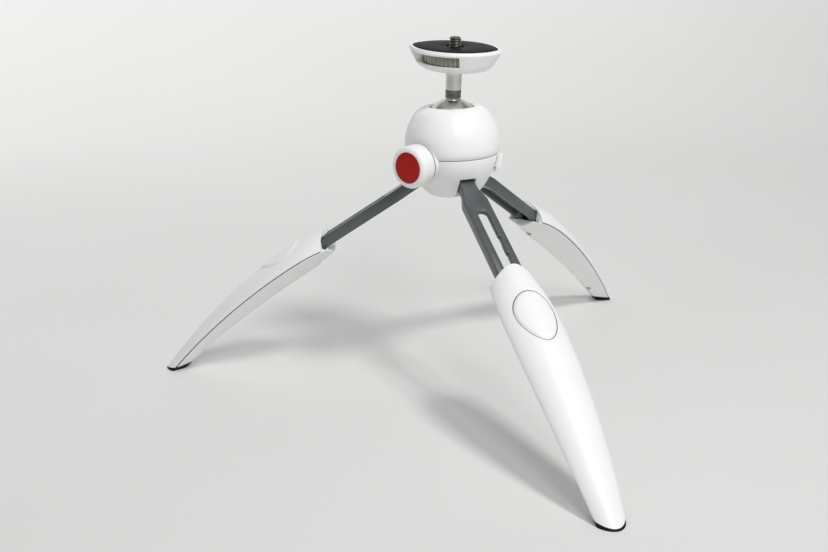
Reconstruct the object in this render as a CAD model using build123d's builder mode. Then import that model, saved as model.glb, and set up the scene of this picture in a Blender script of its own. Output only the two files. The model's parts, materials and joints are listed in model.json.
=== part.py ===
"""Table-top tripod with a ball head and three telescopic, folding legs.

Origin on the floor under the axis of the head, +Z up, front leg along -Y.  Millimetres.
"""
from build123d import *
import os
from math import cos, radians, sin, sqrt, tan

os.makedirs("parts", exist_ok=True)

# ---------------------------------------------------------------- driving dimensions
CLEARANCE = 0.3            # between curved faces of pieces that move past each other
WALL = 1.6                 # moulded plastic wall

# legs
LEG_AZIMUTH = {"front": -90, "right": 30, "left": 150}
LEG_SLOPE = 33             # upper bar below the horizontal, legs open
PIVOT_R = 13.0             # hinge pin from the axis
PIVOT_Z = 118.8            # hinge pin above the floor
PIN_R = 1.5
PIN_LENGTH = 18.0
BAR_HALF_THICK = 3.0
BAR_HALF_WIDTH = 6.6
BAR_NECK_HALF = 4.2        # narrow end between the ears of the housing
BAR_NECK_END = 11.0
BAR_SHOULDER = 18.5
KNUCKLE_R = 4.2
BAR_FULL_END = 72.0        # the full section ends here and a thin tongue goes on
BAR_END = 93.0
TONGUE_TOP = 0.3
SLOT_START = 26.5
SLOT_END = 89.0
SLOT_HALF = 2.7
WEB_BOTTOM = 0.4           # underside of the bar's web, between two side flanges
CHANNEL_START = 19.0
CHANNEL_END = 70.0
CHANNEL_HALF = 5.0
NOTCH_PITCH = 11.1
NOTCH_COUNT = 4
NOTCH_FIRST = 44.3
NOTCH_DEPTH = 0.8
NOTCH_LENGTH = 6.5

# telescopic lower leg: station along the bar, half width, crown, seam and keel heights
SLEEVE_STATIONS = [
    (66, 8.6, 7.4, -4.2, -5.9),
    (72, 11.2, 7.7, -2.9, -8.0),
    (82, 13.8, 8.0, -1.5, -9.7),
    (96, 14.7, 7.8, -1.2, -10.1),
    (115, 14.3, 6.7, -2.0, -10.6),
    (135, 13.1, 4.2, -3.9, -11.8),
    (155, 11.5, 0.4, -6.8, -13.5),
    (175, 9.5, -4.6, -10.6, -15.8),
    (195, 6.9, -10.5, -15.6, -19.9),
    (215, 4.0, -17.4, -21.4, -25.6),
]
SIDE_LIP = 0.9             # straight wall below the seam
SHOULDER_X = 0.86          # where the side wall turns into the crown
SHOULDER_Z = 0.62
SEAM_GAP = 0.1
FOOT_R = 168.5             # middle of the rubber foot from the axis
SOLE_HEIGHT = 2.2          # rubber foot under its middle
SOLE_TILT = 10             # degrees: the rubber is thicker at the heel
BUTTON_WIDE = (93.5, 9.7)  # centre and radius of the wide end
BUTTON_MIDDLE = (100.6, 8.4)
BUTTON_NARROW = (106.3, 5.6)
BUTTON_PROUD = 0.35
BUTTON_THICK = 1.5
BUTTON_GAP = 0.25
TOOTH = (85.5, 3.0, 3.4, -1.5, 6.3)   # station, length, width, low end, high end
LEG_SCREWS = [(79.0, -9.6, 4.5), (172.0, -15.3, -6.2)]   # station, keel height, top of thread
SCREW_R = 0.95
SCREW_HEAD_R = 1.9
SCREW_HEAD_H = 1.3
SCREW_RECESS = 1.6
BOSS_R = 2.2
SPRING_AT = (94.5, 8.3)
SPRING_COIL_R = 1.1
SPRING_WIRE_R = 0.25

# head
SEAM_Z = 130.4             # joint between the two housings
HOUSING_BOTTOM = 108.3
RIM_Z = 155.8
HALF_SEAM = 0.1            # half of the gap between the housings
LOWER_RADIUS = 24.15       # housings at their seam
UPPER_RADIUS = 24.2
SLOT_WALL = 4.6            # half width of the leg slots
SLOT_ROOF_IN = 123.6       # the slot's roof steps down outside the hinge
SLOT_ROOF_OUT = 120.1
CAVITY_R = 13.4            # room for the ball lock
CAVITY_FLOOR = 125.4
SEAT_FLOOR = 139.9         # lower end of the ball's seat
RIM_LIP = 154.3
SCREW_CIRCLE_R = 19.2      # screws that join the housings
SCREW_ANGLES = (90, -60, 0)
SCREW_BOTTOM = 122.0
SCREW_LENGTH = 14.0
CUP_R = 12.6
CUP_BORE_R = 7.0
CUP_BOTTOM = 129.0
CUP_HEIGHT = 10.5
WEDGE_REACH = (-9.5, 10.2)
WEDGE_BOTTOM = 126.0
WEDGE_HALF_WIDTH = 5.5
RAMP_HEIGHT = 131.15       # top of the wedge on the axis
STOP_RING_R = 7.6
STOP_RING_BOTTOM = 120.5
STOP_RING_HEIGHT = 2.2
TAB_HALF_WIDTH = 3.5
ARM_HALF_WIDTH = 1.5
BALL_Z = 145.8
BALL_R = 13.8
SEAT_R = 14.95
RING_IN_R = 13.86
RING_OUT_R = 14.85
RIM_OPENING = 11.6
KNOB_AZIMUTH = -150
KNOB_Z = 128.8
KNOB_R = 10.9
KNOB_BACK = 27.2
KNOB_FRONT = 37.4
KNOB_ROUND = 2.4           # fillet round its front
DISC_R = 7.9
DISC_DEPTH = 1.4           # recess in the knob
DISC_THICK = 1.6
SHAFT_R = 2.0
SHAFT_START = -4.0
SHAFT_END = 33.0
CLIP_AT = 12.2
CLIP_R = 3.0
CLIP_THICK = 0.6
WEDGE_SLOPE = 8            # degrees
SELECTOR_AZIMUTH = -30
BASE_CAP_R = 8.2
POST_R = 3.9

# camera plate, measured along the stem from the ball's centre
TILT = 5.6                 # the head leans by this, towards TILT_AZIMUTH
TILT_AZIMUTH = -79.5
PLATE_AZIMUTH = -34.8      # long axis of the leaf-shaped plate
STEM_R = 4.2
COLLAR_TOP = 18.2
PLATE_BOTTOM = 28.9
PLATE_SECTIONS = [          # height, half length, half width
    (28.9, 16.6, 12.6),
    (31.2, 19.9, 16.2),
    (38.7, 24.3, 19.3),
    (40.1, 23.8, 18.8),
]
PLATE_TIP = 1.1            # fillet at the leaf's points
PAD_HALF_LENGTH = 22.3
PAD_HALF_WIDTH = 17.2
PAD_HOLE_R = 4.6
DECK_BOTTOM = 38.0
DECK_TOP = 39.0
PAD_TOP = 40.6
WINDOW_AT = (-8.6, -12.5)  # centre of one window, drawn from above
WINDOW_SIZE = (29.0, 17.0)
WHEEL_R = 16.2
WHEEL_BOTTOM = 32.3
WHEEL_TOP = 37.7
WHEEL_RIBS = 44
CAMERA_SCREW_R = 3.175     # 1/4 inch thread
CAMERA_SCREW_TOP = 45.3
SHANK_R = 2.95             # camera screw below the pad
THREAD_BOTTOM = 40.8
TIP_CHAMFER = 0.6


def save(piece, name):
    """Label a finished piece and write it."""
    piece.label = name
    export_step(piece, f"parts/{name}.step")


def direction(azimuth):
    """Horizontal unit vector."""
    return Vector(cos(radians(azimuth)), sin(radians(azimuth)), 0)


def radial_plane(azimuth):
    """Vertical plane through the axis: its x is outward and its y is up."""
    out = direction(azimuth)
    return Plane(origin=(0, 0, 0), x_dir=out, z_dir=out.cross(Vector(0, 0, 1)))


def leg_location(azimuth):
    """Leg frame on its hinge pin: X down the bar, Y across it, Z out of its upper face."""
    out = direction(azimuth)
    slope = radians(LEG_SLOPE)
    up = Vector(0, 0, 1)
    along = out * cos(slope) - up * sin(slope)
    normal = out * sin(slope) + up * cos(slope)
    return Plane(origin=out * PIVOT_R + up * PIVOT_Z, x_dir=along, z_dir=normal).location


# ---------------------------------------------------------------- leg bar, leg frame
notch_stations = [NOTCH_FIRST + NOTCH_PITCH * i for i in range(NOTCH_COUNT)]

with BuildPart() as bar:
    with BuildSketch():
        Polygon(
            (0, -BAR_NECK_HALF), (BAR_NECK_END, -BAR_NECK_HALF), (BAR_SHOULDER, -BAR_HALF_WIDTH),
            (BAR_END, -BAR_HALF_WIDTH), (BAR_END, BAR_HALF_WIDTH), (BAR_SHOULDER, BAR_HALF_WIDTH),
            (BAR_NECK_END, BAR_NECK_HALF), (0, BAR_NECK_HALF),
            align=None,
        )
    extrude(amount=BAR_HALF_THICK, both=True)
    with BuildSketch(Plane.XZ):
        Circle(KNUCKLE_R)
    extrude(amount=BAR_NECK_HALF, both=True)
    with BuildSketch(Plane.XZ):
        Circle(PIN_R + 0.06)
    extrude(amount=BAR_NECK_HALF, both=True, mode=Mode.SUBTRACT)
    with BuildSketch():
        with Locations(((SLOT_START + SLOT_END) / 2, 0)):
            SlotOverall(SLOT_END - SLOT_START, 2 * SLOT_HALF)
        for station in notch_stations:
            Polygon(
                (station, SLOT_HALF), (station, SLOT_HALF + NOTCH_DEPTH),
                (station + NOTCH_LENGTH, SLOT_HALF), align=None,
            )
    extrude(amount=BAR_HALF_THICK, both=True, mode=Mode.SUBTRACT)
    with BuildSketch(Plane.XY.offset(TONGUE_TOP)):
        with Locations((BAR_FULL_END, 0)):
            Rectangle(BAR_END, 2 * BAR_HALF_WIDTH, align=(Align.MIN, Align.CENTER))
    extrude(amount=BAR_HALF_THICK, mode=Mode.SUBTRACT)
    with BuildSketch(Plane.XY.offset(-BAR_HALF_THICK)):
        with Locations(((CHANNEL_START + CHANNEL_END) / 2, 0)):
            SlotOverall(CHANNEL_END - CHANNEL_START, 2 * CHANNEL_HALF)
    extrude(amount=BAR_HALF_THICK + WEB_BOTTOM, mode=Mode.SUBTRACT)

with BuildPart() as pivot_pin:
    with BuildSketch(Plane.XZ):
        Circle(PIN_R)
    extrude(amount=PIN_LENGTH / 2, both=True)


# ---------------------------------------------------------------- lower leg, leg frame
def sleeve_blank(inset, first=0):
    """Closed outer form of the lower leg, drawn in by inset, from the given station on."""
    with BuildPart() as blank:
        for at, half, crown, seam, keel in SLEEVE_STATIONS[first:]:
            wide = half - inset
            top = crown - inset
            low = keel + inset * 1.2
            rise = top - seam
            with BuildSketch(Plane(origin=(at, 0, 0), x_dir=(0, 1, 0), z_dir=(1, 0, 0))):
                with BuildLine():
                    lip = seam - SIDE_LIP
                    shoulder = (SHOULDER_X * wide, seam + SHOULDER_Z * rise)
                    bulge = (0.975 * wide, seam + 0.33 * rise)
                    Polyline((-wide, seam), (-wide, lip), (0, low), (wide, lip), (wide, seam))
                    ThreePointArc((wide, seam), bulge, shoulder)
                    ThreePointArc(shoulder, (0, top), (-shoulder[0], shoulder[1]))
                    ThreePointArc((-shoulder[0], shoulder[1]), (-bulge[0], bulge[1]), (-wide, seam))
                make_face()
        loft()
    return blank.part


def seam_cutter(offset, reach):
    """Everything on one side of the curved seam between the two shells."""
    with BuildPart() as cutter:
        with BuildSketch(Plane.XZ):
            with BuildLine():
                points = [(at, seam + offset) for at, _, _, seam, _ in SLEEVE_STATIONS]
                start = (points[0][0] - 5, points[0][1] - 1.3)
                end = (points[-1][0] + 8, points[-1][1] - 2.5)
                Spline([start] + points + [end])
                Polyline(end, (end[0], reach), (start[0], reach), start)
            make_face()
        extrude(amount=30, both=True)
    return cutter.part


outward = Vector(cos(radians(LEG_SLOPE)), 0, sin(radians(LEG_SLOPE)))
upward = Vector(-sin(radians(LEG_SLOPE)), 0, cos(radians(LEG_SLOPE)))
foot_centre = upward * -PIVOT_Z + outward * (FOOT_R - PIVOT_R)
sole_turn = radians(SOLE_TILT)
floor_plane = Plane(origin=foot_centre, x_dir=outward, z_dir=upward)
sole_plane = Plane(
    origin=foot_centre + upward * SOLE_HEIGHT,
    x_dir=outward * cos(sole_turn) - upward * sin(sole_turn),
    z_dir=outward * sin(sole_turn) + upward * cos(sole_turn),
)

outer_form = sleeve_blank(0)
inner_form = sleeve_blank(WALL, first=1)
button_form = sleeve_blank(-BUTTON_PROUD)
button_under = sleeve_blank(BUTTON_THICK, first=1)
below_seam = seam_cutter(SEAM_GAP, -60)
above_seam = seam_cutter(-SEAM_GAP, 60)


with BuildPart() as hollow_leg:
    add(outer_form)
    add(inner_form, mode=Mode.SUBTRACT)
    with BuildSketch(Plane.YZ.offset(SLEEVE_STATIONS[0][0] - 1)):
        Rectangle(2 * (BAR_HALF_WIDTH + CLEARANCE), 2 * (BAR_HALF_THICK + CLEARANCE))
    extrude(amount=10, mode=Mode.SUBTRACT)
    with BuildSketch(sole_plane):
        Rectangle(70, 60)
    extrude(amount=-30, mode=Mode.SUBTRACT)

with BuildPart() as top_shell:
    add(hollow_leg.part)
    add(below_seam, mode=Mode.SUBTRACT)
    with BuildSketch(Plane.XY.offset(-2)):
        for centre, radius in (BUTTON_WIDE, BUTTON_MIDDLE, BUTTON_NARROW):
            with Locations((centre, 0)):
                Circle(radius + BUTTON_GAP)
        make_hull()
    extrude(amount=30, mode=Mode.SUBTRACT)
    for at, _, thread_top in LEG_SCREWS:
        with BuildSketch(Plane.XY.offset(thread_top - 1.8)):
            with Locations((at, 0)):
                Circle(BOSS_R)
                Circle(SCREW_R + 0.05, mode=Mode.SUBTRACT)
        extrude(amount=3.6)

with BuildPart() as bottom_shell:
    add(hollow_leg.part)
    add(above_seam, mode=Mode.SUBTRACT)
    for at, keel, thread_top in LEG_SCREWS:
        with BuildSketch(Plane.XY.offset(keel + 0.6)):
            with Locations((at, 0)):
                Circle(BOSS_R + 0.9)
        extrude(amount=4.2)
        with BuildSketch(Plane.XY.offset(keel + 4.8)):
            with Locations((at, 0)):
                Circle(BOSS_R)
        extrude(amount=thread_top - 1.9 - keel - 4.8)
        with BuildSketch(Plane.XY.offset(keel - 2)):
            with Locations((at, 0)):
                Circle(SCREW_R + 0.05)
        extrude(amount=30, mode=Mode.SUBTRACT)
        with BuildSketch(Plane.XY.offset(keel - 2)):
            with Locations((at, 0)):
                Circle(SCREW_HEAD_R + 0.15)
        extrude(amount=2 + SCREW_RECESS + SCREW_HEAD_H, mode=Mode.SUBTRACT)

with BuildPart() as shell_screws:
    for at, keel, thread_top in LEG_SCREWS:
        head = keel + SCREW_RECESS
        with BuildSketch(Plane.XY.offset(head)):
            with Locations((at, 0)):
                Circle(SCREW_HEAD_R)
        extrude(amount=SCREW_HEAD_H)
        with BuildSketch(Plane.XY.offset(head)):
            with Locations((at, 0)):
                Circle(SCREW_R)
        extrude(amount=thread_top - head)
        with BuildSketch(Plane.XY.offset(head)):
            with Locations((at, 0)):
                Rectangle(2.4, 0.5)
                Rectangle(0.5, 2.4)
        extrude(amount=0.7, mode=Mode.SUBTRACT)

with BuildPart() as foot_pad:
    add(outer_form)
    split(bisect_by=sole_plane, keep=Keep.BOTTOM)
    split(bisect_by=floor_plane, keep=Keep.TOP)

with BuildPart() as button:
    with BuildSketch(Plane.XY.offset(-2)):
        for centre, radius in (BUTTON_WIDE, BUTTON_MIDDLE, BUTTON_NARROW):
            with Locations((centre, 0)):
                Circle(radius)
        make_hull()
    extrude(amount=20)
    add(button_form, mode=Mode.INTERSECT)
    add(button_under, mode=Mode.SUBTRACT)
    with BuildSketch(Plane.XY.offset(-15)):
        Rectangle(400, 60)
    extrude(amount=17, mode=Mode.SUBTRACT)
    with BuildSketch(Plane.XY.offset(TOOTH[3])):
        with Locations((TOOTH[0], 0)):
            Rectangle(TOOTH[1], TOOTH[2])
    extrude(amount=TOOTH[4] - TOOTH[3])

with BuildPart() as button_spring:
    with BuildLine():
        coil = Helix(pitch=0.9, height=3.6, radius=SPRING_COIL_R, center=(*SPRING_AT, -0.3))
    with BuildSketch(Plane(origin=coil @ 0, z_dir=coil % 0)):
        Circle(SPRING_WIRE_R)
    sweep(path=coil, is_frenet=True)

leg_pieces = {
    "bar": bar, "pivot_pin": pivot_pin, "top_shell": top_shell, "bottom_shell": bottom_shell,
    "shell_screws": shell_screws, "foot_pad": foot_pad, "button": button,
    "button_spring": button_spring,
}
for leg_name, azimuth in LEG_AZIMUTH.items():
    for piece_name, piece in leg_pieces.items():
        save(leg_location(azimuth) * piece.part, f"{leg_name}_{piece_name}")


# ---------------------------------------------------------------- housings
def leg_slot(azimuth):
    """Room for one bar's hinge end: open at the side and the bottom, with a stepped roof."""
    with BuildPart() as slot:
        with BuildSketch(radial_plane(azimuth)):
            Polygon(
                (BASE_CAP_R + 0.3, 100), (BASE_CAP_R + 0.3, SLOT_ROOF_IN), (16.2, SLOT_ROOF_IN),
                (17.8, SLOT_ROOF_OUT), (32, SLOT_ROOF_OUT), (32, 100), align=None,
            )
        extrude(amount=SLOT_WALL, both=True)
        with BuildSketch(radial_plane(azimuth)):
            with Locations((PIVOT_R, PIVOT_Z)):
                Circle(PIN_R + 0.02)
        extrude(amount=PIN_LENGTH / 2 + 0.3, both=True)
    return slot.part


def knob_plane(distance):
    """Plane across the knob's axis, at a distance from the axis of the head."""
    out = direction(KNOB_AZIMUTH)
    return Plane(origin=out * distance + Vector(0, 0, KNOB_Z), z_dir=out)


def knob_bore(radius, start, end):
    """Round space along the knob's axis."""
    with BuildPart() as bore:
        with BuildSketch(knob_plane(start)):
            Circle(radius)
        extrude(amount=end - start)
    return bore.part


with BuildPart() as knob_seat:
    add(knob_bore(KNOB_R - 0.7, 12, KNOB_BACK - 0.5))

screw_spots = [
    (SCREW_CIRCLE_R * cos(radians(angle)), SCREW_CIRCLE_R * sin(radians(angle)))
    for angle in SCREW_ANGLES
]

with BuildPart() as lower_housing:
    with BuildSketch(Plane.XZ):
        with BuildLine():
            Line((0, SEAM_Z - HALF_SEAM), (LOWER_RADIUS, SEAM_Z - HALF_SEAM))
            ThreePointArc((LOWER_RADIUS, SEAM_Z - HALF_SEAM), (21.9, 121.6), (16.8, 112.8))
            ThreePointArc((16.8, 112.8), (14.3, 110.1), (10.8, HOUSING_BOTTOM))
            Polyline((10.8, HOUSING_BOTTOM), (0, HOUSING_BOTTOM), (0, SEAM_Z - HALF_SEAM))
        make_face()
    revolve(axis=Axis.Z)
    add(knob_seat.part)
    split(bisect_by=Plane.XY.offset(SEAM_Z - HALF_SEAM), keep=Keep.BOTTOM)
    for azimuth in LEG_AZIMUTH.values():
        add(leg_slot(azimuth), mode=Mode.SUBTRACT)
    with BuildSketch(Plane.XY.offset(100)):
        Circle(BASE_CAP_R + 0.4)
    extrude(amount=24.1, mode=Mode.SUBTRACT)
    with BuildSketch(Plane.XY.offset(CAVITY_FLOOR)):
        Circle(CAVITY_R)
    extrude(amount=20, mode=Mode.SUBTRACT)
    with BuildSketch(Plane.XY.offset(110)):
        Circle(1.3)
    extrude(amount=20, mode=Mode.SUBTRACT)
    add(knob_bore(SHAFT_R + 0.08, 0, KNOB_BACK), mode=Mode.SUBTRACT)
    with BuildSketch(radial_plane(SELECTOR_AZIMUTH)):
        with Locations((18, 119)):
            Rectangle(30, 9.2)
    extrude(amount=1.9, both=True, mode=Mode.SUBTRACT)
    with BuildSketch(radial_plane(SELECTOR_AZIMUTH)):
        Polygon(
            (22.6, 115.5), (22.6, 122.2), (23.2, 126), (24.0, 132), (30, 132), (30, 115.5),
            align=None,
        )
    extrude(amount=3.9, both=True, mode=Mode.SUBTRACT)
    with BuildSketch(Plane.XY.offset(120)):
        with Locations(*screw_spots):
            Circle(0.95)
    extrude(amount=20, mode=Mode.SUBTRACT)

with BuildPart() as upper_housing:
    with BuildSketch(Plane.XZ):
        with BuildLine():
            Polyline((0, 150), (0, SEAM_Z + HALF_SEAM), (UPPER_RADIUS, SEAM_Z + HALF_SEAM))
            ThreePointArc((UPPER_RADIUS, SEAM_Z + HALF_SEAM), (25.0, 132.4), (25.3, 135.2))
            ThreePointArc((25.3, 135.2), (23.7, 144.4), (19.6, 152.2))
            ThreePointArc((19.6, 152.2), (16.8, 154.7), (13.2, RIM_Z))
            ThreePointArc((13.2, RIM_Z), (12.2, 155.3), (RIM_OPENING, RIM_LIP))
            Polyline((RIM_OPENING, RIM_LIP), (RIM_OPENING, 150), (0, 150))
        make_face()
    revolve(axis=Axis.Z)
    add(knob_seat.part)
    split(bisect_by=Plane.XY.offset(SEAM_Z + HALF_SEAM), keep=Keep.TOP)
    with BuildSketch(Plane.XZ):
        with BuildLine():
            Polyline((0, 160), (0, SEAM_Z - 1), (CAVITY_R, SEAM_Z - 1))
            Polyline((CAVITY_R, SEAM_Z - 1), (CAVITY_R, SEAT_FLOOR), (SEAT_R, SEAT_FLOOR))
            Line((SEAT_R, SEAT_FLOOR), (SEAT_R, BALL_Z))
            seat_rise = sqrt(SEAT_R**2 - RIM_OPENING**2)
            RadiusArc((SEAT_R, BALL_Z), (RIM_OPENING, BALL_Z + seat_rise), -SEAT_R)
            Polyline((RIM_OPENING, BALL_Z + seat_rise), (RIM_OPENING, 160), (0, 160))
        make_face()
    revolve(axis=Axis.Z, mode=Mode.SUBTRACT)
    add(knob_bore(SHAFT_R + 0.08, 0, KNOB_BACK), mode=Mode.SUBTRACT)
    with BuildSketch(Plane.XY.offset(SEAM_Z - 1)):
        with Locations(*screw_spots):
            Circle(0.95)
    extrude(amount=8, mode=Mode.SUBTRACT)

with BuildPart() as base_cap:
    with BuildSketch(Plane.XY.offset(HOUSING_BOTTOM)):
        Circle(BASE_CAP_R)
    extrude(amount=2.2)
    with BuildSketch(Plane.XY.offset(HOUSING_BOTTOM)):
        Circle(POST_R)
    extrude(amount=124.1 - HOUSING_BOTTOM)
    with BuildSketch(Plane.XY.offset(HOUSING_BOTTOM)):
        Circle(1.6)
    extrude(amount=20, mode=Mode.SUBTRACT)
    with BuildSketch(Plane.XY.offset(HOUSING_BOTTOM)):
        Circle(2.9)
    extrude(amount=3.2, mode=Mode.SUBTRACT)

with BuildPart() as base_screw:
    with BuildSketch(Plane.XY.offset(HOUSING_BOTTOM + 0.8)):
        Circle(2.7)
        Rectangle(3.2, 0.7, mode=Mode.SUBTRACT)
        Rectangle(0.7, 3.2, mode=Mode.SUBTRACT)
    extrude(amount=0.9)
    with BuildSketch(Plane.XY.offset(HOUSING_BOTTOM + 1.7)):
        Circle(2.7)
    extrude(amount=1.5)
    with BuildSketch(Plane.XY.offset(HOUSING_BOTTOM + 3.2)):
        Circle(1.25)
    extrude(amount=14.4)

with BuildPart() as housing_screws:
    for spot in screw_spots:
        with BuildSketch(Plane.XY.offset(SCREW_BOTTOM)):
            with Locations(spot):
                Circle(SCREW_R - 0.05)
        extrude(amount=SCREW_LENGTH)

# ---------------------------------------------------------------- ball lock
wedge_fall = tan(radians(WEDGE_SLOPE))


def wedge_top(at):
    """Height of the wedge's ramp at a distance from the axis, towards the knob."""
    return RAMP_HEIGHT + at * wedge_fall


with BuildPart() as lock_wedge:
    with BuildSketch(radial_plane(KNOB_AZIMUTH)):
        Polygon(
            (WEDGE_REACH[0], WEDGE_BOTTOM), (WEDGE_REACH[1], WEDGE_BOTTOM),
            (WEDGE_REACH[1], wedge_top(WEDGE_REACH[1])),
            (WEDGE_REACH[0], wedge_top(WEDGE_REACH[0])),
            align=None,
        )
    extrude(amount=WEDGE_HALF_WIDTH, both=True)
    add(knob_bore(SHAFT_R + 0.08, -20, 20), mode=Mode.SUBTRACT)

with BuildPart() as pressure_cup:
    with BuildSketch(Plane.XY.offset(CUP_BOTTOM)):
        Circle(CUP_R)
        Circle(CUP_BORE_R, mode=Mode.SUBTRACT)
    extrude(amount=CUP_HEIGHT)
    with BuildSketch(Plane.XZ):
        with BuildLine():
            bowl_r = BALL_R + 0.06
            ThreePointArc((0, BALL_Z - bowl_r), (bowl_r, BALL_Z), (0, BALL_Z + bowl_r))
            Line((0, BALL_Z + bowl_r), (0, BALL_Z - bowl_r))
        make_face()
    revolve(axis=Axis.Z, mode=Mode.SUBTRACT)
    with BuildSketch(radial_plane(KNOB_AZIMUTH)):
        Polygon(
            (-20, 120), (20, 120), (20, wedge_top(20) + 0.1), (-20, wedge_top(-20) + 0.1),
            align=None,
        )
    extrude(amount=20, both=True, mode=Mode.SUBTRACT)

with BuildPart() as knob_shaft:
    with BuildSketch(knob_plane(SHAFT_START)):
        Circle(SHAFT_R)
    extrude(amount=SHAFT_END - SHAFT_START)

with BuildPart() as knob_clip:
    with BuildSketch(knob_plane(CLIP_AT)):
        Circle(CLIP_R)
        Circle(SHAFT_R, mode=Mode.SUBTRACT)
    extrude(amount=CLIP_THICK)

with BuildPart() as knob_body:
    with BuildSketch(knob_plane(KNOB_BACK)):
        Circle(KNOB_R)
    extrude(amount=KNOB_FRONT - KNOB_BACK)
    outward_axis = Axis(origin=(0, 0, 0), direction=direction(KNOB_AZIMUTH))
    front_rim = faces().filter_by(GeomType.PLANE).sort_by(outward_axis)[-1].edges()
    fillet(front_rim, KNOB_ROUND)
    with BuildSketch(knob_plane(KNOB_FRONT - DISC_DEPTH)):
        Circle(DISC_R + 0.05)
    extrude(amount=10, mode=Mode.SUBTRACT)
    with BuildSketch(knob_plane(KNOB_BACK - 1)):
        Circle(SHAFT_R)
    extrude(amount=SHAFT_END - KNOB_BACK + 1, mode=Mode.SUBTRACT)

with BuildPart() as knob_disc:
    with BuildSketch(knob_plane(KNOB_FRONT - DISC_DEPTH)):
        Circle(DISC_R)
    extrude(amount=DISC_THICK)

# ---------------------------------------------------------------- leg angle selector
with BuildPart() as stop_ring:
    with BuildSketch(Plane.XY.offset(STOP_RING_BOTTOM)):
        Circle(STOP_RING_R)
        Circle(POST_R + 0.1, mode=Mode.SUBTRACT)
    extrude(amount=STOP_RING_HEIGHT)

with BuildPart() as selector_tab:
    with BuildSketch(radial_plane(SELECTOR_AZIMUTH)):
        Polygon((7.0, 120.6), (23.4, 120.6), (23.4, 122.6), (7.0, 122.6), align=None)
    extrude(amount=ARM_HALF_WIDTH, both=True)
    add(stop_ring.part, mode=Mode.SUBTRACT)
    with BuildSketch(radial_plane(SELECTOR_AZIMUTH)):
        Polygon(
            (23.0, 120.6), (25.0, 121.2), (26.6, 123.4), (26.9, 128.6), (26.0, 130.1),
            (24.6, 129.8), (23.5, 124), align=None,
        )
    extrude(amount=TAB_HALF_WIDTH, both=True)

# ---------------------------------------------------------------- ball and neck, stem frame
lean = radians(TILT)
stem_up = direction(TILT_AZIMUTH) * sin(lean) + Vector(0, 0, cos(lean))
stem_location = Plane(origin=(0, 0, BALL_Z), x_dir=direction(PLATE_AZIMUTH), z_dir=stem_up).location

with BuildPart() as friction_ring:
    with BuildSketch(Plane.XZ):
        with BuildLine():
            ends = []
            for polar in (57.0, 82.0):
                unit = (sin(radians(polar)), cos(radians(polar)))
                ends.append([(r * unit[0], BALL_Z + r * unit[1]) for r in (RING_IN_R, RING_OUT_R)])
            RadiusArc(ends[0][0], ends[1][0], RING_IN_R)
            Line(ends[1][0], ends[1][1])
            RadiusArc(ends[1][1], ends[0][1], -RING_OUT_R)
            Line(ends[0][1], ends[0][0])
        make_face()
    revolve(axis=Axis.Z)

with BuildPart() as ball_stem:
    Sphere(BALL_R)
    with BuildSketch():
        Circle(STEM_R - 0.15)
    extrude(amount=COLLAR_TOP)
    with BuildSketch(Plane.XY.offset(COLLAR_TOP)):
        Circle(2.5)
    extrude(amount=5.5)

with BuildPart() as plate_neck:
    with BuildSketch(Plane.XY.offset(COLLAR_TOP + 0.1)):
        Circle(STEM_R)
    extrude(amount=PLATE_BOTTOM - COLLAR_TOP - 0.1)
    with BuildSketch(Plane.XY.offset(COLLAR_TOP)):
        Circle(2.56)
    extrude(amount=6, mode=Mode.SUBTRACT)
    with BuildSketch(Plane.XY.offset(COLLAR_TOP)):
        Circle(1.25)
    extrude(amount=20, mode=Mode.SUBTRACT)


# ---------------------------------------------------------------- camera plate, stem frame
def leaf(length, width, tip):
    """Leaf outline with rounded tips, by its half length and half width."""
    with BuildSketch() as outline:
        with BuildLine():
            ThreePointArc((-length, 0), (0, -width), (length, 0))
            ThreePointArc((length, 0), (0, width), (-length, 0))
        make_face()
        fillet(outline.vertices(), tip)
    return outline.sketch


with BuildPart() as plate_shell:
    for height, half_length, half_width in PLATE_SECTIONS:
        with BuildSketch(Plane.XY.offset(height)):
            add(leaf(half_length, half_width, PLATE_TIP))
    loft(ruled=True)
    with BuildSketch(Plane.XY.offset(DECK_TOP)):
        add(leaf(PAD_HALF_LENGTH + 0.1, PAD_HALF_WIDTH + 0.1, 0.8))
    extrude(amount=5, mode=Mode.SUBTRACT)
    with BuildSketch(Plane.XY.offset(WHEEL_BOTTOM - CLEARANCE)):
        Circle(WHEEL_R + CLEARANCE)
    extrude(amount=DECK_BOTTOM - WHEEL_BOTTOM + CLEARANCE, mode=Mode.SUBTRACT)
    for side in (1, -1):
        with BuildSketch(Plane.XY.offset(WHEEL_BOTTOM + 0.4)):
            with Locations((WINDOW_AT[0] * side, WINDOW_AT[1] * side)):
                RectangleRounded(*WINDOW_SIZE, 0.8)
        extrude(amount=DECK_BOTTOM - WHEEL_BOTTOM - 0.5, mode=Mode.SUBTRACT)
    with BuildSketch(Plane.XY.offset(30)):
        Circle(CAMERA_SCREW_R + CLEARANCE)
    extrude(amount=20, mode=Mode.SUBTRACT)
    with BuildSketch(Plane.XY.offset(20)):
        Circle(1.6)
    extrude(amount=15, mode=Mode.SUBTRACT)
    with BuildSketch(Plane.XY.offset(WHEEL_BOTTOM - 2.2)):
        Circle(3.3)
    extrude(amount=3, mode=Mode.SUBTRACT)

with BuildPart() as stem_screw:
    with BuildSketch(Plane.XY.offset(WHEEL_BOTTOM - 2.2)):
        Circle(3.1)
        RegularPolygon(1.3, 6, mode=Mode.SUBTRACT)
    extrude(amount=1.8)
    with BuildSketch(Plane.XY.offset(PLATE_BOTTOM - 2.8)):
        Circle(1.2)
    extrude(amount=WHEEL_BOTTOM - 2.2 - PLATE_BOTTOM + 2.8)

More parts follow.
